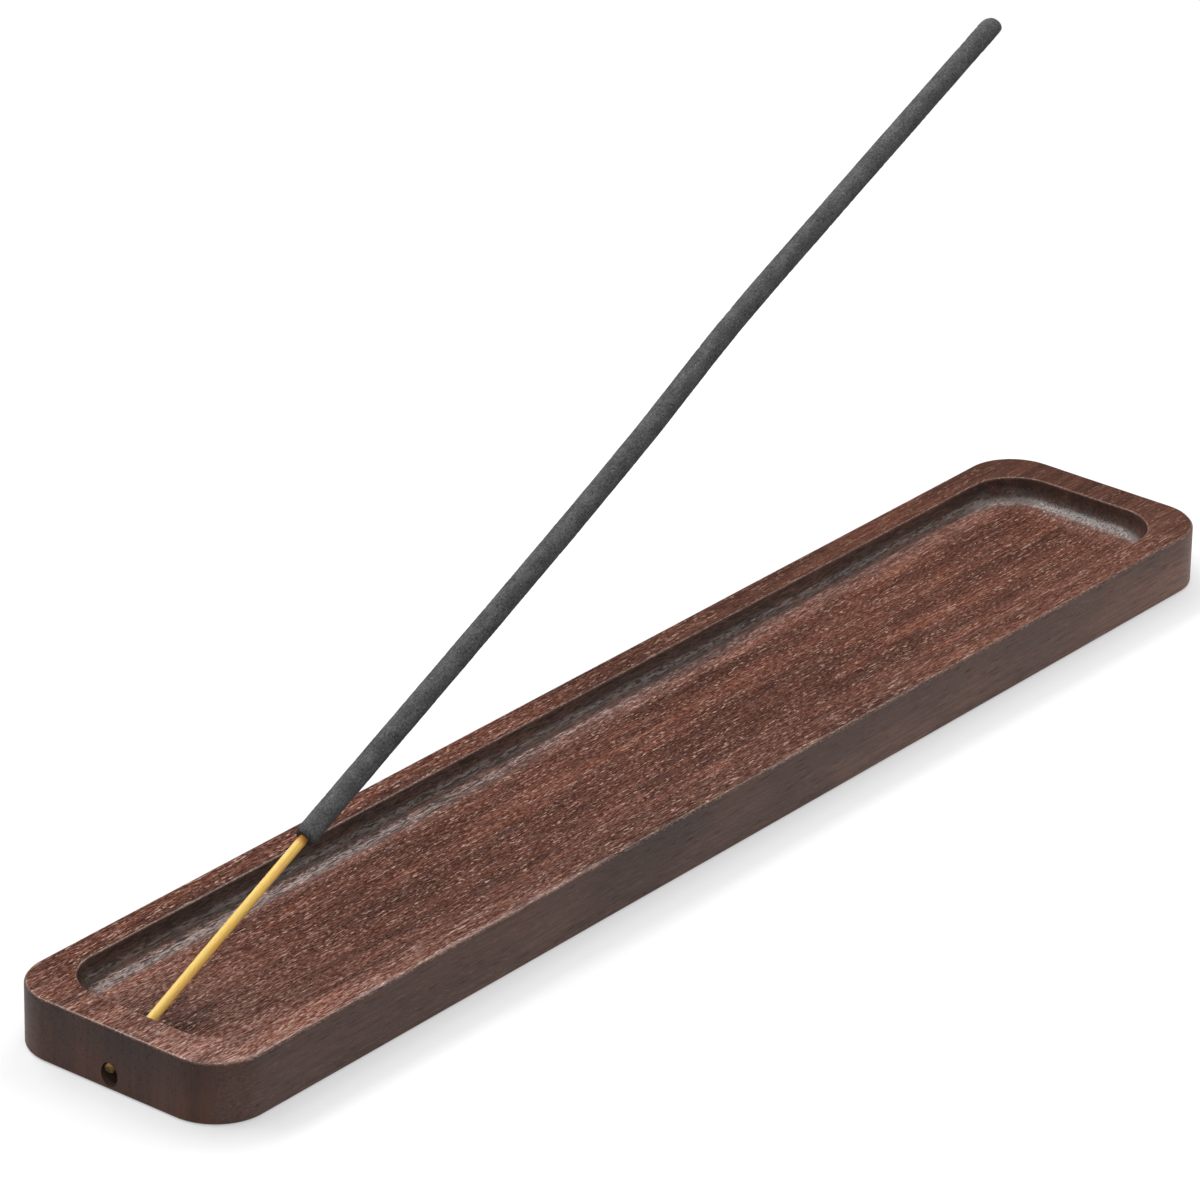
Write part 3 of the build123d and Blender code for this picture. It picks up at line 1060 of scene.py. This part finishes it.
def charcoal_paste():
    """Dried charcoal paste: dark grey and matte, with pale grit, dark pits and cloudy patches, and painted
    shade at its foot.
    """
    paste = Finish("charcoal_paste", "grain")
    along, _, _ = paste.parts(paste.place)
    cloud = paste.noise((3.2 * MM, 1.8 * MM, 1.8 * MM), 2.0)
    grain = paste.noise((0.26 * MM, 0.30 * MM, 0.30 * MM), 2.0, 0.6, shift=3.0)
    grit = paste.spread(paste.noise((0.30 * MM, 0.25 * MM, 0.25 * MM), 1.0, shift=13.0), 0.66, 0.78)
    pits = paste.spread(paste.noise((0.40 * MM, 0.40 * MM, 0.40 * MM), 1.0, shift=29.0), 0.62, 0.74)
    colour = paste.blend(paste.spread(cloud, 0.3, 0.7), PASTE_DARK, PASTE_LIGHT)
    colour = paste.tint(colour, paste.grey(paste.spread(grain, 0.25, 0.75, 0.62, 1.38)))
    colour = paste.blend(paste.times(grit, 0.55), colour, PASTE_GRIT)
    colour = paste.blend(paste.times(pits, 0.6), colour, PASTE_PIT)
    # Painted shade on the paste's foot, which faces down
    foot = paste.spread(along, BARE_LENGTH + 0.1 * MM, BARE_LENGTH + 0.7 * MM, 0.40, 0.0)
    paste.colour(paste.blend(foot, colour, PASTE_FOOT_SHADE))
    paste.set(Roughness=0.85, Specular_IOR_Level=0.12)
    paste.bump(paste.less(grain, pits), 0.06 * MM, 0.6)
    return paste.material


def white_sheet(floor):
    """What the camera and reflections see of the floor: it takes the shadow, and glows more further away."""
    place = floor.coordinates.outputs["Object"]
    distance = floor.tree.nodes.new("ShaderNodeVectorMath")
    distance.operation = "LENGTH"
    floor.put(place, distance.inputs[0])
    glow = floor.spread(distance.outputs["Value"], *GLOW_RISE, GLOW_NEAR, GLOW_FAR)
    floor.set(Roughness=FLOOR_ROUGHNESS, Specular_IOR_Level=FLOOR_GLOSS, IOR=1.5)
    floor.set(Base_Color=FLOOR_SHEET, Emission_Color=WHITE, Emission_Strength=glow)
    return floor.surface.outputs[0]


def white_floor():
    """White with the object's shadow for the camera and in reflections, and a grey card for bounced light."""
    floor = Finish("white_floor")
    path = floor.tree.nodes.new("ShaderNodeLightPath").outputs
    seen = floor.most(floor.most(path["Is Camera Ray"], path["Is Glossy Ray"]), path["Is Transmission Ray"])
    card = floor.tree.nodes.new("ShaderNodeBsdfDiffuse")
    card.inputs["Color"].default_value = FLOOR_CARD
    choice = floor.tree.nodes.new("ShaderNodeMixShader")
    for value, socket in zip((seen, card.outputs[0], white_sheet(floor)), choice.inputs):
        floor.put(value, socket)
    floor.put(choice.outputs[0], floor.tree.nodes["Material Output"].inputs["Surface"])
    return floor.material


def add_floor():
    half = FLOOR_SIZE / 2
    corners = [(-half, -half), (half, -half), (half, half), (-half, half)]
    floor = new_piece("floor", [(x, y, -FLOOR_DROP) for x, y in corners], [(0, 1, 2, 3)])
    floor.data.materials.append(white_floor())


def add_soft_box(name, place, size, radiance):
    """A soft box at this place that faces the tray. Its size is its width and height."""
    lamp = bpy.data.lights.new(name, "AREA")
    lamp.shape = "RECTANGLE"
    lamp.size, lamp.size_y = size
    lamp.energy = radiance * pi * lamp.size * lamp.size_y
    box = bpy.data.objects.new(name, lamp)
    box.location = place
    box.rotation_mode = "QUATERNION"
    box.rotation_quaternion = Vector(place).to_track_quat("Z", "Y")
    bpy.context.scene.collection.objects.link(box)


def add_world():
    world = bpy.data.worlds.new("studio")
    world.use_nodes = True
    background = world.node_tree.nodes["Background"]
    background.inputs["Color"].default_value = WHITE
    background.inputs["Strength"].default_value = WORLD_LEVEL
    bpy.context.scene.world = world


def add_camera():
    a, e = CAMERA_AZIMUTH, CAMERA_ELEVATION
    back = Vector((sin(a) * cos(e), -cos(a) * cos(e), sin(e)))
    right = Vector((cos(a), sin(a), 0))
    up = back.cross(right)
    turned_right = right * cos(CAMERA_ROLL) + up * sin(CAMERA_ROLL)
    turned_up = up * cos(CAMERA_ROLL) - right * sin(CAMERA_ROLL)
    lens = bpy.data.cameras.new("camera")
    lens.sensor_fit = "HORIZONTAL"
    lens.sensor_width = CAMERA_SENSOR
    lens.lens = CAMERA_LENS
    camera = bpy.data.objects.new("camera", lens)
    turn = Matrix((turned_right, turned_up, back)).transposed().to_4x4()
    camera.matrix_world = Matrix.Translation(CAMERA_TARGET + back * CAMERA_DISTANCE) @ turn
    bpy.context.scene.collection.objects.link(camera)
    bpy.context.scene.camera = camera


def add_tray():
    tray = tray_mesh()
    tray.data.materials.append(walnut())
    cutter = hole_cutter()
    cutter.data.materials.append(drilled_walnut())
    drill(tray, cutter)
    tray.data.set_sharp_from_angle(angle=SHARP_ANGLE)
    mark_edge_wear_and_glint(tray)
    tray.modifiers.new("even_shading", "WEIGHTED_NORMAL").keep_sharp = True
    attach(tray, "tray")
    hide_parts("tray")


def add_stick():
    for piece, node, slot, material in (
        (splint_piece(), "bamboo_splint", "bamboo", bamboo()),
        (coat_piece(), "incense_coat", "charcoal_paste", charcoal_paste()),
    ):
        piece.data.materials.append(material)
        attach(piece, "stick")
        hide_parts(node)


add_tray()
add_stick()
add_floor()
for soft_box in SOFT_BOXES:
    add_soft_box(*soft_box)
add_world()
add_camera()
bpy.context.scene.view_settings.view_transform = "Standard"
